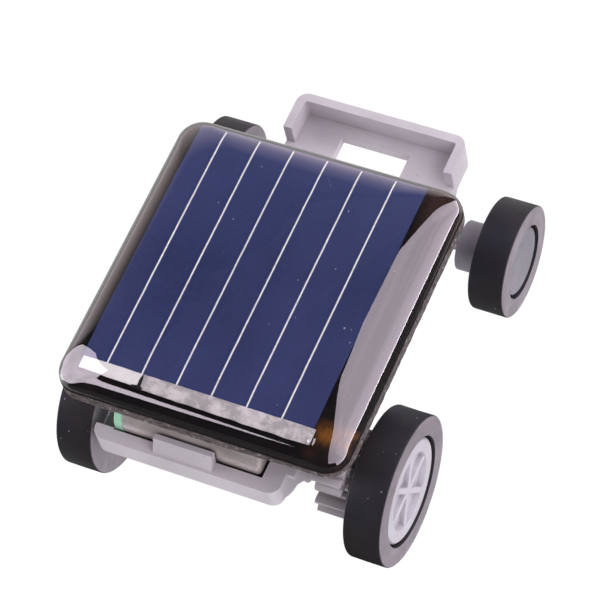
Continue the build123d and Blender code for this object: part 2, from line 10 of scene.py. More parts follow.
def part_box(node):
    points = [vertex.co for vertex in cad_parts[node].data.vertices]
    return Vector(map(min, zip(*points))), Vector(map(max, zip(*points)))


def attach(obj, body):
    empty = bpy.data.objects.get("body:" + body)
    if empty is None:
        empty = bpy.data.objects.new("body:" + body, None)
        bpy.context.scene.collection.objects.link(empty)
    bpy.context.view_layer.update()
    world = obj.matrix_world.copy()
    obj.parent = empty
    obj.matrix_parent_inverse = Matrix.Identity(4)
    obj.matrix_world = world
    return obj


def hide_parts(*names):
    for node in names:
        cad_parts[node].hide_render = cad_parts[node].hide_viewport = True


# Miniature solar car: better materials on the CAD nodes that show, finer meshes in place of those
# whose surface matters, a white table, studio lights and the camera. Blender works in metres in the
# CAD frame; the car's sizes below are millimetres, and the studio's are metres.

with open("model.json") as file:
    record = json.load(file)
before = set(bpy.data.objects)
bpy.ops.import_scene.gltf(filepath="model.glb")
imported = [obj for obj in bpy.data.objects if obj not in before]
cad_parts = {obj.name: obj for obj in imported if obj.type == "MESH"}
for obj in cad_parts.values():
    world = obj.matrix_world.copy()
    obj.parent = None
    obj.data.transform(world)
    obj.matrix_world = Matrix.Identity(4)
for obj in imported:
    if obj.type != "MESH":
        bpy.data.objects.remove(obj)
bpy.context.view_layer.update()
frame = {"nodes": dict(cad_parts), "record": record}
nodes = frame["nodes"]
scene = bpy.context.scene
MM = 0.001


def box_mm(node):
    """The low and high corner of a CAD node's box, in millimetres."""
    return tuple(Vector(corner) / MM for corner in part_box(node))


BOARD_LOW, BOARD_HIGH = box_mm("panel_board")


# ---------------------------------------------------------------- shader helpers


class Finish:
    """One Principled material and the procedural nodes that feed it."""

    def __init__(self, name, **sockets):
        self.material = bpy.data.materials.new(name)
        self.material.use_nodes = True
        self.tree = self.material.node_tree
        self.shader = self.tree.nodes["Principled BSDF"]
        for label, value in sockets.items():
            self.shader.inputs[label.replace("_", " ")].default_value = value
        self.coords = self.add("ShaderNodeTexCoord").outputs["Object"]

    def add(self, kind, **settings):
        made = self.tree.nodes.new(kind)
        for key, value in settings.items():
            setattr(made, key, value)
        return made

    def link(self, source, target):
        self.tree.links.new(source, target)

    def noise(self, scale, detail=3.0, offset=0.0, stretch=(1, 1, 1), rough=0.55):
        """Noise in object space, with scale in features per metre."""
        mapping = self.add("ShaderNodeMapping")
        mapping.inputs["Location"].default_value = (offset * MM, offset * 2 * MM, offset * 3 * MM)
        mapping.inputs["Scale"].default_value = stretch
        self.link(self.coords, mapping.inputs["Vector"])
        made = self.add("ShaderNodeTexNoise")
        made.inputs["Scale"].default_value = scale
        made.inputs["Detail"].default_value = detail
        made.inputs["Roughness"].default_value = rough
        self.link(mapping.outputs["Vector"], made.inputs["Vector"])
        return made.outputs["Fac"]

    def specks(self, scale, size, offset=0.0):
        """Small round dots, 1 inside and 0 outside, in about a third of the cells."""
        mapping = self.add("ShaderNodeMapping")
        mapping.inputs["Location"].default_value = (offset * MM, offset * MM, offset * MM)
        self.link(self.coords, mapping.inputs["Vector"])
        cells = self.add("ShaderNodeTexVoronoi")
        cells.inputs["Scale"].default_value = scale
        self.link(mapping.outputs["Vector"], cells.inputs["Vector"])
        near = self.ramp(cells.outputs["Distance"], size, size * 0.5)
        pick = self.add("ShaderNodeSeparateColor")
        self.link(cells.outputs["Color"], pick.inputs["Color"])
        return self.math("MULTIPLY", near, self.ramp(pick.outputs["Red"], 0.66, 0.70))

    def ramp(self, source, low, high, to_low=0.0, to_high=1.0):
        made = self.add("ShaderNodeMapRange")
        made.inputs["From Min"].default_value = low
        made.inputs["From Max"].default_value = high
        made.inputs["To Min"].default_value = to_low
        made.inputs["To Max"].default_value = to_high
        self.link(source, made.inputs["Value"])
        return made.outputs["Result"]

    def math(self, operation, first, second):
        made = self.add("ShaderNodeMath", operation=operation)
        for value, socket in ((first, made.inputs[0]), (second, made.inputs[1])):
            if isinstance(value, (int, float)):
                socket.default_value = value
            else:
                self.link(value, socket)
        return made.outputs[0]

    def mix(self, factor, first, second):
        """Colour between first and second, each a colour or a socket."""
        made = self.add("ShaderNodeMix", data_type="RGBA")
        self.link(factor, made.inputs["Factor"])
        for value, socket in zip((first, second), (s for s in made.inputs if s.type == "RGBA")):
            if isinstance(value, tuple):
                socket.default_value = (*value, 1.0)
            else:
                self.link(value, socket)
        return next(s for s in made.outputs if s.type == "RGBA")

    def axis(self, name):
        """One coordinate of the point in metres."""
        split = self.add("ShaderNodeSeparateXYZ")
        self.link(self.coords, split.inputs["Vector"])
        return split.outputs[name]

    def facing(self, name):
        """How much the surface faces along an axis, either way, from 0 to 1."""
        split = self.add("ShaderNodeSeparateXYZ")
        self.link(self.add("ShaderNodeNewGeometry").outputs["Normal"], split.inputs["Vector"])
        return self.math("ABSOLUTE", split.outputs[name], 0.0)

    def shade(self, distance, samples=4):
        """1 in the open and towards 0 in a crevice narrower than the distance."""
        made = self.add("ShaderNodeAmbientOcclusion", samples=samples)
        made.inputs["Distance"].default_value = distance
        return made.outputs["AO"]

    def bump(self, height, distance, strength=1.0, under=None):
        made = self.add("ShaderNodeBump")
        made.inputs["Distance"].default_value = distance
        made.inputs["Strength"].default_value = strength
        self.link(height, made.inputs["Height"])
        if under is not None:
            self.link(under, made.inputs["Normal"])
        return made.outputs["Normal"]

    def feed(self, **sockets):
        for label, source in sockets.items():
            self.link(source, self.shader.inputs[label.replace("_", " ")])
        return self


def moulded(name, colour, dark, rough, seed, painted_shade=(0.30, 0.27, 0.27), **sockets):
    """Injection-moulded plastic: cloudy and softly shiny, with a fine skin, specks and painted
    shade in crevices.
    """
    f = Finish(name, **sockets)
    cloud = f.ramp(f.noise(260, 4, seed), 0.35, 0.65)
    fine = f.noise(2600, 3, seed + 5)
    base = f.mix(cloud, dark, colour)
    base = f.mix(f.ramp(fine, 0.58, 0.72, 0.0, 0.25), base, dark)
    # Painted shade: the colour darkens in crevices by ambient occlusion.
    base = f.mix(f.ramp(f.shade(0.9 * MM), 0.25, 0.85, 0.55, 0.0), base, painted_shade)
    base = f.mix(f.math("MULTIPLY", f.specks(1500, 0.10, seed), 0.6), base, (0.22, 0.19, 0.19))
    sheen = f.ramp(f.noise(900, 3, seed + 9), 0.3, 0.7, rough - 0.07, rough + 0.08)
    waves = f.bump(f.noise(420, 2, seed + 2), 0.06 * MM, 0.35)
    f.feed(Base_Color=base, Roughness=sheen, Normal=f.bump(fine, 0.010 * MM, 0.5, waves))
    return f.material


def metal(name, colour, dark, rough, seed, stretch, metallic=1.0, depth=0.5, painted_shade=0.0, **sockets):
    """Bare metal with fine drawn or turned lines, cloudy tarnish and, if asked, painted shade in
    crevices.
    """
    f = Finish(name, Metallic=metallic, **sockets)
    lines = f.noise(1500, 5, seed, stretch)
    tarnish = f.ramp(f.noise(500, 4, seed + 4), 0.4, 0.7)
    base = f.mix(tarnish, colour, dark)
    base = f.mix(f.ramp(lines, 0.35, 0.75, 0.0, 0.35), base, dark)
    if painted_shade:
        # Painted shade: crevices darken towards near-black by ambient occlusion.
        shaded_crevice = f.ramp(f.shade(1.6 * MM, 8), 0.15, 0.60, painted_shade, 0.0)
        base = f.mix(shaded_crevice, base, (0.05, 0.04, 0.035))
    f.feed(Base_Color=base, Roughness=f.ramp(lines, 0.3, 0.7, rough - 0.06, rough + 0.10))
    f.feed(Normal=f.bump(lines, 0.008 * MM, depth))
    return f.material


def tinned(name, colour, dark, seed):
    """Solder-coated copper ribbon: dull and mottled, with scratches along it and dark pits."""
    f = Finish(name, Metallic=0.25)
    blotch = f.ramp(f.noise(1100, 5, seed, rough=0.65), 0.42, 0.60)
    base = f.mix(blotch, dark, colour)
    scratches = f.ramp(f.noise(2400, 4, seed + 3, (0.5, 2.2, 1)), 0.60, 0.70, 0.0, 0.6)
    base = f.mix(scratches, base, dark)
    base = f.mix(f.math("MULTIPLY", f.specks(3200, 0.14, seed), 0.8), base, (0.10, 0.08, 0.08))
    f.feed(Base_Color=base, Roughness=f.ramp(blotch, 0.0, 1.0, 0.6, 0.4))
    f.feed(Normal=f.bump(f.noise(1700, 4, seed + 6), 0.03 * MM, 0.7))
    return f.material


def rubber():
    """Tyre rubber: black tread, painted light that makes the sidewalls paler, faint brown and blue
    tints, dust.
    """
    f = Finish("rubber", Specular_IOR_Level=0.28)
    # Painted light: faces that look along X, the sidewalls, get a paler colour than the tread,
    # mottled at random.
    side = f.ramp(f.facing("X"), 0.55, 0.95)
    blue = f.ramp(f.noise(170, 3, 3), 0.42, 0.6)
    tint = f.mix(blue, (0.0215, 0.0195, 0.0225), (0.0195, 0.0200, 0.0275))
    brown = f.ramp(f.noise(230, 3, 11), 0.55, 0.75, 0.0, 0.8)
    tint = f.mix(brown, tint, (0.026, 0.019, 0.018))
    sidewall_mottle = f.ramp(f.noise(600, 4, 7), 0.35, 0.7)
    wall = f.mix(sidewall_mottle, (0.225, 0.200, 0.226), (0.300, 0.266, 0.298))
    base = f.mix(side, tint, wall)
    dust = f.math("MULTIPLY", f.specks(1500, 0.10, 2), 0.6)
    base = f.mix(dust, base, (0.50, 0.48, 0.52))
    base = f.mix(f.ramp(f.noise(9000, 2, 1), 0.62, 0.75, 0.0, 0.15), base, (0.16, 0.15, 0.16))
    f.feed(Base_Color=base)
    f.feed(Roughness=f.ramp(f.noise(700, 4, 5), 0.3, 0.7, 0.38, 0.52))
    waves = f.bump(f.noise(300, 2, 6), 0.05 * MM, 0.4)
    f.feed(Normal=f.bump(f.noise(5200, 3, 8), 0.012 * MM, 0.5, waves))
    return f.material


def silicon():
    """Deep blue cell: slow colour drift, fine grain, a painted sheen that makes it paler towards
    the far end, and a few pale specks that stand for bubbles in the resin, their glints painted.
    """
    f = Finish("silicon", Specular_IOR_Level=0.10)
    drift = f.ramp(f.noise(95, 3, 4), 0.35, 0.65)
    base = f.mix(drift, (0.025, 0.034, 0.108), (0.039, 0.050, 0.148))
    # Painted sheen: paler towards the far end.
    base = f.mix(f.ramp(f.axis("Y"), -2 * MM, 7 * MM, 0.0, 0.6), base, (0.052, 0.068, 0.185))
    base = f.mix(f.ramp(f.noise(3000, 4, 2), 0.5, 0.8, 0.0, 0.35), base, (0.056, 0.068, 0.170))
    # Painted glints: pale specks that stand for bubbles in the resin.
    base = f.mix(f.math("MULTIPLY", f.specks(420, 0.035, 6), 0.8), base, (0.6, 0.6, 0.65))
    f.feed(Base_Color=base, Roughness=f.ramp(f.noise(1200, 3, 3), 0.3, 0.7, 0.42, 0.6))
    f.feed(Normal=f.bump(f.noise(2400, 3, 6), 0.010 * MM, 0.35))
    return f.material


def laminate():
    """Dark board: near-black face with flux stains by its right corners, fibrous cut edge."""
    f = Finish("laminate", Specular_IOR_Level=0.05)
    fibre = f.noise(2600, 5, 3, (1, 1, 3))
    edge = f.mix(f.ramp(fibre, 0.35, 0.65), (0.050, 0.040, 0.040), (0.17, 0.145, 0.145))
    edge = f.mix(f.ramp(f.noise(4200, 4, 9), 0.60, 0.68, 0.0, 0.8), edge, (0.45, 0.40, 0.39))
    mottle = f.ramp(f.noise(300, 4, 5), 0.4, 0.7)
    face = f.mix(mottle, (0.004, 0.0035, 0.004), (0.011, 0.007, 0.006))
    streaks = f.ramp(f.noise(900, 4, 14, (1, 0.6, 1)), 0.38, 0.58)
    right_x, near_y, far_y, top_z = BOARD_HIGH.x, BOARD_LOW.y, BOARD_HIGH.y, BOARD_HIGH.z
    right = f.ramp(f.axis("X"), (right_x - 2.8) * MM, (right_x - 2.0) * MM)
    near = f.math("MULTIPLY", f.ramp(f.axis("Y"), (near_y + 3.27) * MM, (near_y + 2.67) * MM),
                  f.ramp(f.axis("Y"), (near_y + 1.27) * MM, (near_y + 2.17) * MM))
    stain = f.math("MULTIPLY", f.math("MULTIPLY", right, near), streaks)
    face = f.mix(stain, face, (0.22, 0.080, 0.012))
    corner = f.math("MULTIPLY", f.ramp(f.axis("X"), (right_x - 5.2) * MM, (right_x - 3.0) * MM),
                    f.ramp(f.axis("Y"), (near_y + 1.97) * MM, (near_y + 0.97) * MM))
    swirl = f.math("MULTIPLY", corner, f.ramp(f.noise(600, 4, 17), 0.45, 0.65, 0.0, 0.7))
    face = f.mix(swirl, face, (0.035, 0.013, 0.006))
    far = f.ramp(f.axis("Y"), (far_y - 4.75) * MM, (far_y - 1.25) * MM, 0.0, 0.8)
    face = f.mix(f.math("MULTIPLY", right, far), face, (0.045, 0.024, 0.020))
    upper_edge = f.ramp(f.axis("Z"), (top_z - 0.40) * MM, (top_z - 0.23) * MM)
    edge = f.mix(upper_edge, edge, (0.014, 0.011, 0.011))
    top = f.ramp(f.facing("Z"), 0.6, 0.9)
    f.feed(Base_Color=f.mix(top, edge, face), Roughness=f.ramp(fibre, 0.3, 0.7, 0.5, 0.8))
    f.feed(Normal=f.bump(fibre, 0.06 * MM, 0.8))
    return f.material


def clear_resin():
    """Clear epoxy; the dense coat makes its skin mirror more than plain epoxy does."""
    f = Finish("clear_resin", Transmission_Weight=1.0, IOR=1.5, Roughness=0.015,
               Base_Color=(1, 1, 1, 1), Coat_Weight=1.0, Coat_IOR=2.5, Coat_Roughness=0.01)
    f.feed(Normal=f.bump(f.noise(140, 3, 5), 0.05 * MM, 0.10))
    return f.material


def foam():
    """Cream foam tape with open pores."""
    f = Finish("foam", Roughness=0.95)
    holes = f.noise(4200, 4, 2)
    f.feed(Base_Color=f.mix(f.ramp(holes, 0.35, 0.65), (0.55, 0.52, 0.46), (0.82, 0.80, 0.74)))
    f.feed(Normal=f.bump(holes, 0.05 * MM, 0.8))
    return f.material


finish = {
    "chassis_plastic": moulded(
        "chassis_plastic", (0.64, 0.60, 0.645), (0.56, 0.525, 0.565), 0.42, 1,
        Subsurface_Weight=0.10, Subsurface_Radius=(1.0, 0.8, 0.9), Subsurface_Scale=0.4 * MM),
    "hub_plastic": moulded(
        "hub_plastic", (0.60, 0.57, 0.63), (0.52, 0.50, 0.55), 0.36, 21, (0.24, 0.22, 0.25)),
    "gear_plastic": moulded("gear_plastic", (0.46, 0.43, 0.46), (0.38, 0.36, 0.38), 0.42, 31),
    "green_plastic": moulded(
        "green_plastic", (0.52, 0.90, 0.66), (0.42, 0.80, 0.56), 0.35, 41, (0.20, 0.36, 0.26)),
    "rubber": rubber(),
    "silicon": silicon(),
    "board": laminate(),
    "resin": clear_resin(),
    "foam": foam(),
    "silver_line": metal(
        "silver_line", (1.0, 1.0, 0.97), (0.93, 0.93, 0.89), 0.5, 2, (4, 0.5, 1), 0.1),
    "tinned_ribbon": tinned("tinned_ribbon", (0.98, 0.945, 0.93), (0.88, 0.84, 0.83), 6),
    "solder": metal("solder", (0.90, 0.89, 0.88), (0.60, 0.59, 0.58), 0.26, 8, (1, 1, 1), 0.55),
    # The can gets strong painted shade in its crevices.
    "can_steel": metal(
        "can_steel", (0.93, 0.86, 0.83), (0.66, 0.60, 0.57), 0.30, 12, (0.05, 2.5, 2.5),
        metallic=0.6, depth=0.15, painted_shade=0.9),
    "shaft_steel": metal(
        "shaft_steel", (0.62, 0.62, 0.63), (0.38, 0.38, 0.39), 0.26, 15, (1, 7, 7), 0.7),
    "bronze": metal("bronze", (0.70, 0.48, 0.24), (0.42, 0.27, 0.13), 0.34, 18, (1, 4, 4), 0.7),
    "copper": metal("copper", (0.80, 0.40, 0.20), (0.50, 0.22, 0.10), 0.30, 22, (1, 9, 9), 0.7),
    "magnet": metal("magnet", (0.12, 0.12, 0.13), (0.07, 0.07, 0.07), 0.55, 25, (1, 1, 1)),
    "red_wire": moulded(
        "red_wire", (0.55, 0.030, 0.022), (0.42, 0.020, 0.016), 0.34, 51, (0.16, 0.02, 0.02)),
    "black_wire": moulded(
        "black_wire", (0.020, 0.020, 0.022), (0.012, 0.012, 0.013), 0.36, 61, (0.05, 0.05, 0.05)),
}
slot_of = {part["node"]: part["material_slot"] for part in frame["record"]["subparts"]}
bodies = frame["record"]["behaviour"]["bodies"]
body_of = {node: body for body, members in bodies.items() for node in members}

for node, piece in nodes.items():
    piece.data.materials.clear()
    piece.data.materials.append(finish[slot_of[node]])


# ---------------------------------------------------------------- mesh helpers


def settle(name, mesh, node, sharp=35.0, extra=False):
    """An object finished like a CAD node and riding on its body; it replaces it unless extra."""
    piece = bpy.data.objects.new(name, mesh)
    scene.collection.objects.link(piece)
    mesh.materials.clear()
    mesh.materials.append(finish[slot_of[node]])
    mesh.shade_smooth()
    mesh.set_sharp_from_angle(angle=math.radians(sharp))
    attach(piece, body_of[node])
    if not extra:
        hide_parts(node)
    return piece


def from_bmesh(name, bm):
    bmesh.ops.recalc_face_normals(bm, faces=bm.faces)
    mesh = bpy.data.meshes.new(name)
    bm.to_mesh(mesh)
    bm.free()
    return mesh


def loft(bm, rings, closed=False):
    """Join rings of vertices by faces: back to the first ring if closed, else with end caps."""
    count = len(rings[0])
    for here, after in zip(rings, rings[1:] + (rings[:1] if closed else [])):
        for j in range(count):
            i = (j + 1) % count
            bm.faces.new((here[j], here[i], after[i], after[j]))
    if not closed:
        bm.faces.new(rings[0])
        bm.faces.new(rings[-1])


def rounded(points, steps=4):
    """Closed outline of (a, b, radius) points with each corner turned into an arc."""
    outline = []
    count = len(points)
    for k, (a, b, radius) in enumerate(points):
        here = Vector((a, b))
        if radius <= 0:
            outline.append(here)
            continue
        before = (Vector(points[k - 1][:2]) - here).normalized()
        after = (Vector(points[(k + 1) % count][:2]) - here).normalized()
        half = before.angle(after) / 2
        reach = radius / math.tan(half)
        centre = here + (before + after).normalized() * (radius / math.sin(half))
        start = here + before * reach - centre
        turn = start.angle_signed(here + after * reach - centre)
        for step in range(steps + 1):
            outline.append(centre + Matrix.Rotation(-turn * step / steps, 2) @ start)
    return outline


def turned(name, node, profile, axle_y, axle_z, side, wobble, segments=160):
    """Turn a closed outline of (distance from the car's middle, radius) about an axle."""
    bm = bmesh.new()
    rings = []
    for k in range(segments):
        angle = 2 * math.pi * k / segments
        ring = []
        for x, r in profile:
            radius = r + wobble(x, r, angle)
            ring.append(bm.verts.new((
                side * x * MM,
                axle_y * MM + radius * MM * math.cos(angle),
                axle_z * MM + radius * MM * math.sin(angle),
            )))
        rings.append(ring)
    loft(bm, rings, closed=True)
    return settle(name, from_bmesh(name, bm), node)


def softened(name, node, width, segments=3, sharp=28.0):
    """A CAD node's own shape with bevelled edges, as a moulding or pressing has them."""
    bm = bmesh.new()
    bm.from_mesh(nodes[node].data)
    bmesh.ops.remove_doubles(bm, verts=bm.verts, dist=1e-7)
    bmesh.ops.dissolve_limit(bm, angle_limit=math.radians(0.6), verts=bm.verts, edges=bm.edges)
    piece = settle(name, from_bmesh(name, bm), node, sharp)
    bevel = piece.modifiers.new("rounding", "BEVEL")
    bevel.width = width * MM
    bevel.segments = segments
    bevel.limit_method = "ANGLE"
    bevel.angle_limit = math.radians(sharp)
    bevel.use_clamp_overlap = True
    bevel.harden_normals = True
    return piece


# ---------------------------------------------------------------- tyres

# Axle as (y, z); face is the outer side wall's distance from the car's middle; barrel and opening
# are the radii of the bore over the hub and of the wider recess that shows the hub's face.
REAR = dict(axle=(-9.35, 4.90), face=11.05, width=2.48, radius=4.90, barrel=2.95, opening=3.59)
FRONT = dict(axle=(8.75, 3.74), face=11.16, width=2.39, radius=3.74, barrel=2.00, opening=2.45)
RECESS = 0.62           # depth of the opening
RING_DEPTH = 0.015      # of the shallow ring moulded in each outer wall
RING_IN, RING_OUT, RING_SLOPE = 0.42, 0.84, 0.04    # where it lies, as shares of the wall's width
TREAD_WOBBLE = 0.012


def tyre(name, node, side, axle, face, width, radius, barrel, opening):
    """Tyre with soft shoulders, a shallow ring in the outer wall and a slightly uneven tread."""
    inner, step = face - width, face - RECESS
    floor, middle = face - RING_DEPTH, face - width * 0.5

    def wall(share):
        return opening + (radius - opening) * share

    profile = rounded([
        (inner, barrel + 0.12, 0.0),
        (inner + 0.12, barrel, 0.0),
        (step, barrel, 0.0),
        (step, opening, 0.0),
        (face, opening, 0.06),
        (face, wall(RING_IN), 0.0),
        (floor, wall(RING_IN + RING_SLOPE), 0.0),
        (floor, wall(RING_OUT - RING_SLOPE), 0.0),
        (face, wall(RING_OUT), 0.0),
        (face, radius, 0.13),
        (middle + 0.03, radius, 0.0),
        (middle, radius, 0.0),
        (middle - 0.03, radius, 0.0),
        (inner, radius, 0.15),
    ])

    def wobble(x, r, angle):
        at = Vector((x * 1.3, r * math.cos(angle), r * math.sin(angle)))
        return TREAD_WOBBLE * (noise.noise(at * 0.9) - 0.6) if r > radius * 0.9 else 0.0

    return turned(name, node, profile, *axle, side, wobble)


for side, word in ((-1, "left"), (1, "right")):
    tyre(f"rear_tyre_{word}_moulding", f"rear_tyre_{word}", side, **REAR)
    tyre(f"front_tyre_{word}_moulding", f"front_tyre_{word}", side, **FRONT)

# ---------------------------------------------------------------- rounded mouldings

softened("chassis_moulding", "chassis", 0.07)
# Painted shade: the front hubs get a darker copy of the hub plastic.
front_hub_shaded_plastic = moulded(
    "front_hub_shaded_plastic", (0.27, 0.255, 0.29), (0.22, 0.21, 0.24), 0.34, 25, (0.24, 0.22, 0.26))
for word in ("left", "right"):
    softened(f"rear_hub_{word}_moulding", f"rear_hub_{word}", 0.045)
    wheel = softened(f"front_hub_{word}_moulding", f"front_hub_{word}", 0.06)
    wheel.data.materials[0] = front_hub_shaded_plastic
softened("drive_gear_moulding", "drive_gear", 0.09)
softened("motor_pinion_moulding", "motor_pinion", 0.03, 2)
softened("motor_end_cap_moulding", "motor_end_cap", 0.08)
softened("motor_can_pressing", "motor_can", 0.06)

# ---------------------------------------------------------------- solar panel

PANEL_X, PANEL_Y = (BOARD_LOW.x + BOARD_HIGH.x) / 2, (BOARD_LOW.y + BOARD_HIGH.y) / 2
HALF_W, HALF_L = (BOARD_HIGH.x - BOARD_LOW.x) / 2, (BOARD_HIGH.y - BOARD_LOW.y) / 2
BOARD_BOTTOM, BOARD_TOP = BOARD_LOW.z, BOARD_HIGH.z
PANEL_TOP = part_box("panel_resin")[1][2] / MM
PANEL_CORNER = 1.5


def outline(inset, corner, arc=10, run=24):
    """Points round the panel, drawn in by inset, with that corner radius."""
    a, b = HALF_W - inset, HALF_L - inset
    corner = min(corner, a - 0.01, b - 0.01)
    points = []
    for cx, cy, start in ((a, b, 0), (-a, b, 90), (-a, -b, 180), (a, -b, 270)):
        mx, my = math.copysign(abs(cx) - corner, cx), math.copysign(abs(cy) - corner, cy)
        for k in range(arc + 1):
            angle = math.radians(start + 90 * k / arc)
            points.append(Vector((mx + corner * math.cos(angle), my + corner * math.sin(angle))))
        following = {
            0: (-a + corner, b), 90: (-a, -b + corner), 180: (a - corner, -b), 270: (a, b - corner),
        }[start]
        last = points[-1]
        for k in range(1, run):
            points.append(last.lerp(Vector(following), k / run))
    return points


def stacked(name, rings, node, sharp):
    """Skin closed rings of equal length into a solid."""
    bm = bmesh.new()
    loft(bm, [[bm.verts.new(Vector(p) * MM) for p in ring] for ring in rings])
    return settle(name, from_bmesh(name, bm), node, sharp)


RESIN_H = PANEL_TOP - BOARD_TOP - 0.05      # leaves room for the waves below
CAPILLARY = RESIN_H / math.sqrt(2)
SLOPES = (90, 84, 78, 72, 66, 60, 54, 48, 42, 37, 32, 28,
          24, 20, 17, 14, 11.5, 9, 7, 5, 3.5, 2.4, 1.6, 1)
FLAT_INSETS = (5.2, 6.6, 8.2)
RESIN_INSET, RESIN_WAVE = 0.03, 0.018


def drop(angle):
    """(distance in from the edge, height) where a flat drop's skin has that slope."""
    def run(a):
        return math.log(math.tan(a / 4)) + 2 * math.cos(a / 2)
    slope = math.radians(angle)
    inward = CAPILLARY * (run(math.pi / 2) - run(slope))
    return inward, RESIN_H - 2 * CAPILLARY * math.sin(slope / 2)


skin = [drop(slope) for slope in SLOPES] + [(inset, RESIN_H) for inset in FLAT_INSETS]
dome_rings = []
for inset, height in skin:
    ring = []
    for p in outline(inset + RESIN_INSET, PANEL_CORNER + 0.75 * inset, 14):
        wave = RESIN_WAVE * noise.noise(Vector((p.x * 0.22, p.y * 0.22, 3.0)))
        ring.append((PANEL_X + p.x, PANEL_Y + p.y, BOARD_TOP + height + wave * min(1, inset)))
    dome_rings.append(ring)
base_ring = [(x, y, BOARD_TOP - 0.03) for x, y, z in dome_rings[0]]
resin = stacked("resin_dome", [base_ring] + dome_rings, "panel_resin", sharp=70.0)
resin.visible_shadow = False

rng = random.Random(7)


def near_taper(p):
    """0 to 1: where the board's lower edge is filed away, near side and towards the right."""
    along = min(1.0, max(0.0, (p.x - 1.5) / 5.0))
    near_edge = min(1.0, max(0.0, (-p.y - HALF_L + 2.2) / 1.4))
    return along * near_edge


TAPER_RISE, TAPER_TOP = 0.38, 0.85      # how far the filed edge is raised, and where that dies out
board_rings = []
for z, rough in (
    (BOARD_BOTTOM, 0.05), (BOARD_BOTTOM + 0.05, 0.01), (BOARD_BOTTOM + 0.25, 0.0),
    (BOARD_BOTTOM + 0.45, 0.0), (BOARD_BOTTOM + 0.65, 0.0), (BOARD_BOTTOM + 0.85, 0.0),
    (BOARD_TOP - 0.12, 0.0), (BOARD_TOP - 0.03, 0.01), (BOARD_TOP, 0.04),
):
    ring = []
    for p in outline(0.0, PANEL_CORNER, 14, 60):
        way = p.normalized()
        raised = TAPER_RISE * near_taper(p) * max(0.0, 1 - (z - BOARD_BOTTOM) / TAPER_TOP)
        dent = 0.06 * abs(noise.noise(Vector((p.x * 2.3, p.y * 2.3, z * 3.0))))
        cut = dent + 0.02 * rng.random() + rough
        ring.append((PANEL_X + p.x - way.x * cut, PANEL_Y + p.y - way.y * cut, z + raised))
    board_rings.append(ring)
stacked("board_slab", board_rings, "panel_board", sharp=50.0)

# Tinned ribbon: two strips lapped at the second finger, with an uneven lower edge.
(ribbon_x0, ribbon_y0, ribbon_z0), (ribbon_x1, ribbon_y1, _) = box_mm("bus_ribbon")


def strip(name, x0, x1, width0, width1, lift, seed, extra):
    """A thin soldered strip below the fingers' ends, wavy along its edges and slightly crowned."""
    steps, across = 90, (0.0, 0.04, 0.3, 0.7, 0.96, 1.0)

    def wave(size, *at):
        return size * noise.noise(Vector(at))

    bm = bmesh.new()
    rows = []
    for k in range(steps + 1):
        t = k / steps
        x = x0 + (x1 - x0) * t
        width = width0 + (width1 - width0) * t
        lower = ribbon_y1 - width + wave(0.05, x * 1.1, seed, 0) + wave(0.02, x * 5, seed, 4)
        upper = ribbon_y1 + wave(0.015, x * 1.7, seed, 9)
        row = []
        for above in (True, False):
            for c in across if above else reversed(across):
                crown = 0.05 * math.sin(math.pi * c) ** 0.5 + wave(0.015, x * 2, c * 3, seed)
                z = ribbon_z0 + lift + (0.02 + crown if above else -0.01)
                row.append(bm.verts.new(Vector((x, upper + (lower - upper) * c, z)) * MM))
        rows.append(row)
    loft(bm, rows)
    return settle(name, from_bmesh(name, bm), "bus_ribbon", 40, extra)


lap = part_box("cell_fingers")[0].x / MM + 2.55       # where the two strips meet
strip("ribbon_strip_left", ribbon_x0, lap - 0.05, 0.78, 0.84, 0.0, 1.0, False)
right_strip = strip("ribbon_strip_right", lap + 0.03, ribbon_x1, 0.92, 1.02, 0.02, 2.0, True)
dull_ribbon = tinned("tinned_ribbon_dull", (0.78, 0.73, 0.73), (0.45, 0.42, 0.425), 9)
right_strip.data.materials[0] = dull_ribbon


def lump(name, centre, size, seed, extra, material=None):
    """An uneven blob of solder or flux, flattened below, of that size along each axis."""
    bm = bmesh.new()
    bmesh.ops.create_icosphere(bm, subdivisions=3, radius=1.0)
    for v in bm.verts:
        bulge = 1 + 0.30 * noise.noise(v.co * 1.3 + Vector((seed, seed, 0)))
        bulge += 0.10 * noise.noise(v.co * 3.1 + Vector((seed, 0, 2)))
        flat = Vector((v.co.x * size[0], v.co.y * size[1], max(v.co.z, -0.2) * size[2]))
        v.co = (flat * bulge + Vector(centre)) * MM
    piece = settle(name, from_bmesh(name, bm), "ribbon_solder", 180, extra)
    if material:
        piece.data.materials[0] = material


# Printed silver fingers, a little uneven in width.
FINGERS, FINGER_STEPS = 6, 180
FINGER_HALF, FINGER_WAVE, FINGER_END = 0.056, 0.010, 0.015
FINGER_MARGIN = 0.065       # from the box's side to the first and last finger's middle
FINGER_SECTION = ((-1, 0.0), (-0.7, 0.025), (0, 0.038), (0.7, 0.025), (1, 0.0))
(finger_x0, finger_y0, finger_z0), (finger_x1, finger_y1, _) = box_mm("cell_fingers")
pitch = (finger_x1 - finger_x0 - 2 * FINGER_MARGIN) / (FINGERS - 1)
bm = bmesh.new()
for finger in range(FINGERS):
    centre = finger_x0 + FINGER_MARGIN + finger * pitch
    rows = []
    for k in range(FINGER_STEPS + 1):
        y = finger_y0 + (finger_y1 - finger_y0) * k / FINGER_STEPS
        x = centre + FINGER_WAVE * noise.noise(Vector((finger * 5.0, y * 0.8, 0)))
        half = FINGER_HALF + FINGER_WAVE * noise.noise(Vector((finger * 3.0, y * 3.5, 7)))
        if k in (0, FINGER_STEPS):
            half -= FINGER_END
        section = [(x + half * a, y, finger_z0 + b) for a, b in FINGER_SECTION]
        rows.append([bm.verts.new(Vector(p) * MM) for p in section])
    loft(bm, rows)
settle("finger_lines", from_bmesh("finger_lines", bm), "cell_fingers", 50)

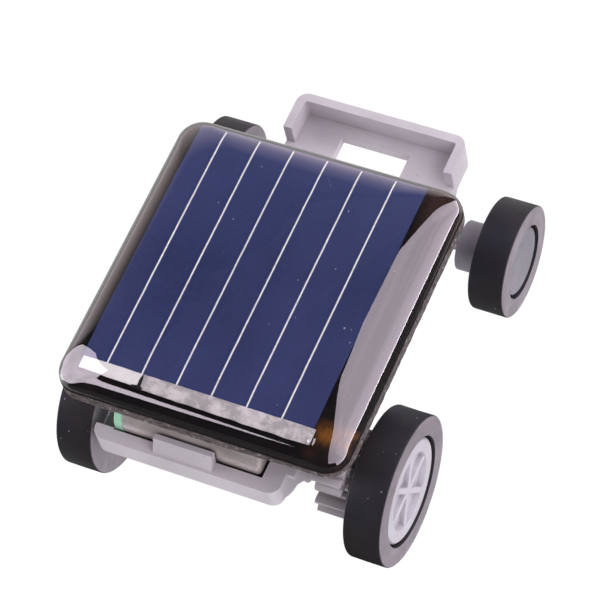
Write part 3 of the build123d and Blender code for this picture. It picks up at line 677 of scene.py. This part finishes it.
right, near, far, level = ribbon_x1, ribbon_y0, ribbon_y1, ribbon_z0 + 0.06
lump("solder_end_upper", (right - 0.10, far - 0.35, level), (0.10, 0.30, 0.10), 3, False)
lump("solder_end_lower", (right - 0.16, near + 0.18, level), (0.16, 0.15, 0.12), 5, True)
lump("solder_tail", (right + 0.16, near + 0.26, level - 0.04), (0.07, 0.22, 0.06), 8, True)
flux = Finish("flux", Roughness=0.25, Base_Color=(0.010, 0.008, 0.012, 1)).material
lump("flux_drip", (lap, far - 0.52, level), (0.13, 0.42, 0.08), 11, True, flux)
lump("flux_foot", (lap - 0.08, far - 0.86, level), (0.42, 0.12, 0.07), 14, True, flux)

# Foam pads between the posts and the board, squeezed so that their sides swell.
PAD_ROWS = ((-7.90, -6.70), (6.00, 7.20))       # the near and far post's sides, in Y
PAD_LEVELS, PAD_STEPS = 7, (44, 8)              # steps up, and along a pad's long and short sides
PAD_SWELL, PAD_ROUGH = 0.10, 0.03
OUTWARD = ((0, -1), (1, 0), (0, 1), (-1, 0))
pad_low, pad_high = box_mm("foam_pads")
for pad_index, (pad_y0, pad_y1) in enumerate(PAD_ROWS):
    corners = ((pad_low.x, pad_y0), (pad_high.x, pad_y0), (pad_high.x, pad_y1), (pad_low.x, pad_y1))
    bm = bmesh.new()
    rings = []
    for step in range(PAD_LEVELS + 1):
        z = pad_low.z + (pad_high.z - pad_low.z) * step / PAD_LEVELS
        swell = PAD_SWELL * math.sin(math.pi * step / PAD_LEVELS)
        ring = []
        for c, (out_x, out_y) in enumerate(OUTWARD):
            (ax, ay), (bx, by) = corners[c], corners[(c + 1) % 4]
            steps = PAD_STEPS[c % 2]
            for k in range(steps):
                x, y = ax + (bx - ax) * k / steps, ay + (by - ay) * k / steps
                rough = swell + PAD_ROUGH * noise.noise(Vector((x * 3, y * 3, z * 6)))
                ring.append(bm.verts.new(Vector((x + out_x * rough, y + out_y * rough, z)) * MM))
        rings.append(ring)
    loft(bm, rings)
    pad_name = f"foam_pad_{pad_index}"
    pad = settle(pad_name, from_bmesh(pad_name, bm), "foam_pads", 60, pad_index > 0)

# Specks of dust on the resin.
bm = bmesh.new()
for _ in range(20):
    at = Vector((
        PANEL_X + rng.uniform(-0.8, 0.8) * HALF_W,
        PANEL_Y + rng.uniform(-0.8, 0.8) * HALF_L,
        PANEL_TOP - 0.055,
    ))
    size = rng.uniform(0.012, 0.032)
    made = bmesh.ops.create_icosphere(bm, subdivisions=2, radius=size * MM)["verts"]
    for v in made:
        v.co = Vector((v.co.x * rng.uniform(0.8, 1.3), v.co.y, v.co.z * 0.5)) + at * MM
dust = settle("dust_specks", from_bmesh("dust_specks", bm), "panel_resin", 180, True)
dust.data.materials[0] = Finish("dust", Roughness=0.8, Base_Color=(0.75, 0.73, 0.76, 1)).material

# ---------------------------------------------------------------- table, lights and camera

bpy.ops.mesh.primitive_plane_add(size=3.0, location=(0, 0, 0))
table = bpy.context.object
table.name = "table"
# The paper is lit for each kind of ray: white to the camera; bright round the car for light
# that bounces off it; and in reflections bright to the left, brighter beyond the near-left corner.
NEAR_CAR, FAR_OFF = 60 * MM, 80 * MM        # |x| + |y| between which the bounced light falls off
BOUNCE, BOUNCE_FAR = 1.45, 0.10
LEFT_GLARE, DIM_GLARE, CORNER_GLARE = 0.55, 0.01, 2.2
paper = Finish("paper", Roughness=0.9, Base_Color=(0.04, 0.04, 0.04, 1), Specular_IOR_Level=0.0,
               Emission_Color=(1, 1, 1, 1))
ray = paper.add("ShaderNodeLightPath").outputs
here_x, here_y = paper.axis("X"), paper.axis("Y")
away = paper.math("ADD", paper.math("ABSOLUTE", here_x, 0.0), paper.math("ABSOLUTE", here_y, 0.0))
across = paper.math("SUBTRACT", here_x, here_y)
left_side = paper.ramp(across, -12 * MM, 12 * MM, LEFT_GLARE, DIM_GLARE)
beyond = paper.math("SUBTRACT", here_y, paper.math("MULTIPLY", here_x, 0.62))
past_corner = paper.math("MULTIPLY", paper.ramp(here_y, -14 * MM, -20 * MM),
                         paper.ramp(beyond, 0.0, 8 * MM, 0.0, CORNER_GLARE))
bounced = paper.math("MULTIPLY", ray["Is Diffuse Ray"],
                     paper.ramp(away, NEAR_CAR, FAR_OFF, BOUNCE, BOUNCE_FAR))
mirrored = paper.math("MULTIPLY", ray["Is Glossy Ray"], paper.math("ADD", left_side, past_corner))
lit = paper.math("ADD", bounced, mirrored)
paper.feed(Emission_Strength=paper.math("ADD", lit, ray["Is Camera Ray"]))
table.data.materials.append(paper.material)

world = bpy.data.worlds.new("studio")
scene.world = world
world.use_nodes = True
sky = world.node_tree
ray = sky.nodes.new("ShaderNodeLightPath")
seen = sky.nodes["Background"].outputs[0]
sky.nodes["Background"].inputs["Color"].default_value = (0.93, 0.93, 0.95, 1)
for kind, colour in (
    ("Is Diffuse Ray", (0.09, 0.085, 0.095, 1)),
    ("Is Glossy Ray", (0.013, 0.012, 0.014, 1)),
):
    dim = sky.nodes.new("ShaderNodeBackground")
    dim.inputs["Color"].default_value = colour
    choose = sky.nodes.new("ShaderNodeMixShader")
    sky.links.new(ray.outputs[kind], choose.inputs["Fac"])
    sky.links.new(seen, choose.inputs[1])
    sky.links.new(dim.outputs[0], choose.inputs[2])
    seen = choose.outputs[0]
sky.links.new(seen, sky.nodes["World Output"].inputs["Surface"])

AIM = Vector((0, 0, 0.008))
LAMP_DISTANCE, LAMP_COLOUR = 0.30, (1.0, 0.96, 1.0)
CLOTH_DISTANCE = 0.35
CLOTH_LOW, RIM_LOW, RIM_HIGH = 0.02, 0.016, 0.040       # heights in metres
CLOTH_NEAR = -0.15      # Y in metres where the cloth's near share is reached, from 1 at Y = 0


def direction(azimuth, elevation):
    """Unit vector from the aim point; azimuth runs from +X towards +Y, in degrees."""
    a, e = math.radians(azimuth), math.radians(elevation)
    return Vector((math.cos(a) * math.cos(e), math.sin(a) * math.cos(e), math.sin(e)))


def softbox(name, azimuth, elevation, width, height, radiance):
    """A rectangular area light that reflections don't show."""
    lamp = bpy.data.lights.new(name, "AREA")
    lamp.shape = "RECTANGLE"
    lamp.size, lamp.size_y = width, height
    lamp.energy = radiance * math.pi * width * height
    lamp.color = LAMP_COLOUR
    holder = bpy.data.objects.new(name, lamp)
    scene.collection.objects.link(holder)
    way = direction(azimuth, elevation)
    holder.location = AIM + way * LAMP_DISTANCE
    holder.rotation_euler = way.to_track_quat("Z", "Y").to_euler()
    holder.visible_glossy = False


softbox("right_softbox", 12, 38, 0.62, 0.22, 2.8)
softbox("near_softbox", -65, 28, 0.30, 0.18, 1.9)
softbox("far_softbox", 105, 32, 0.36, 0.20, 1.5)
softbox("left_softbox", 180, 24, 0.16, 0.24, 3.9)


def glow(name, corners, base, top, rim, fall, near, colour):
    """A lit cloth that only reflections show: a patch of sky between (azimuth, elevation) corners.

    Its light goes from base low down to top at height fall, plus rim close to the table, times near
    on the camera's side.
    """
    bm = bmesh.new()
    places = [AIM + direction(*corner) * CLOTH_DISTANCE for corner in corners]
    face = bm.faces.new([bm.verts.new(place) for place in places])
    bmesh.ops.triangulate(bm, faces=[face])
    mesh = bpy.data.meshes.new(name)
    bm.to_mesh(mesh)
    bm.free()
    piece = bpy.data.objects.new(name, mesh)
    scene.collection.objects.link(piece)
    cloth = Finish(name, Base_Color=(0, 0, 0, 1), Emission_Color=(*colour, 1))
    height = cloth.axis("Z")
    strength = cloth.math("ADD", cloth.ramp(height, CLOTH_LOW, fall, base, top),
                          cloth.ramp(height, RIM_LOW, RIM_HIGH, rim, 0.0))
    side = cloth.ramp(cloth.axis("Y"), CLOTH_NEAR, 0.0, near, 1.0)
    folds = cloth.ramp(cloth.noise(11, 3, 2), 0.3, 0.7, 0.82, 1.15)
    strength = cloth.math("MULTIPLY", strength, side)
    cloth.feed(Emission_Strength=cloth.math("MULTIPLY", strength, folds))
    mesh.materials.append(cloth.material)
    for kind in ("camera", "diffuse", "transmission", "volume_scatter", "shadow"):
        setattr(piece, "visible_" + kind, False)


RIGHT_SKY = ((-36, 1), (-38, 27), (-60, 31), (-48, 62), (60, 78), (106, 65), (76, 27), (76, 1))
LEFT_SKY = ((167, 1), (161, 55), (178, 64), (205, 62), (232, 52), (246, 46), (246, 43), (240, 31),
            (231, 13), (221, 4), (206, 1))
BACK_SKY = ((80, 0), (92, 30), (108, 58), (140, 60), (160, 55), (166, 0))
glow("right_cloth", RIGHT_SKY, 2.1, 1.35, rim=3.5, fall=0.30, near=0.75, colour=(1.0, 0.87, 1.0))
glow("left_cloth", LEFT_SKY, 2.5, 2.1, rim=0.0, fall=0.30, near=1.0, colour=(1.0, 0.88, 1.0))
glow("back_cloth", BACK_SKY, 1.0, 0.0, rim=0.0, fall=0.20, near=1.0, colour=(1.0, 0.84, 0.86))

# The camera looks at TARGET from AZ degrees round from -Y towards +X and EL degrees up.
TARGET, DISTANCE = Vector((-1.0, 0.873, 5.0)), 195.0
AZ, EL, ROLL = (math.radians(angle) for angle in (37.55, 58.238, -16.126))
back = Vector((math.sin(AZ) * math.cos(EL), -math.cos(AZ) * math.cos(EL), math.sin(EL)))
right = Vector((math.cos(AZ), math.sin(AZ), 0))
up = back.cross(right)
camera_x = math.cos(ROLL) * right + math.sin(ROLL) * up
camera_y = -math.sin(ROLL) * right + math.cos(ROLL) * up
camera = bpy.data.objects.new("camera", bpy.data.cameras.new("camera"))
scene.collection.objects.link(camera)
place = Matrix((camera_x, camera_y, back)).transposed().to_4x4()
place.translation = TARGET * MM + back * DISTANCE * MM
camera.matrix_world = place
camera.data.sensor_width = 36
camera.data.lens = 183.4
camera.data.clip_start = 0.005
camera.data.clip_end = 20
scene.camera = camera
scene.view_settings.view_transform = "Standard"
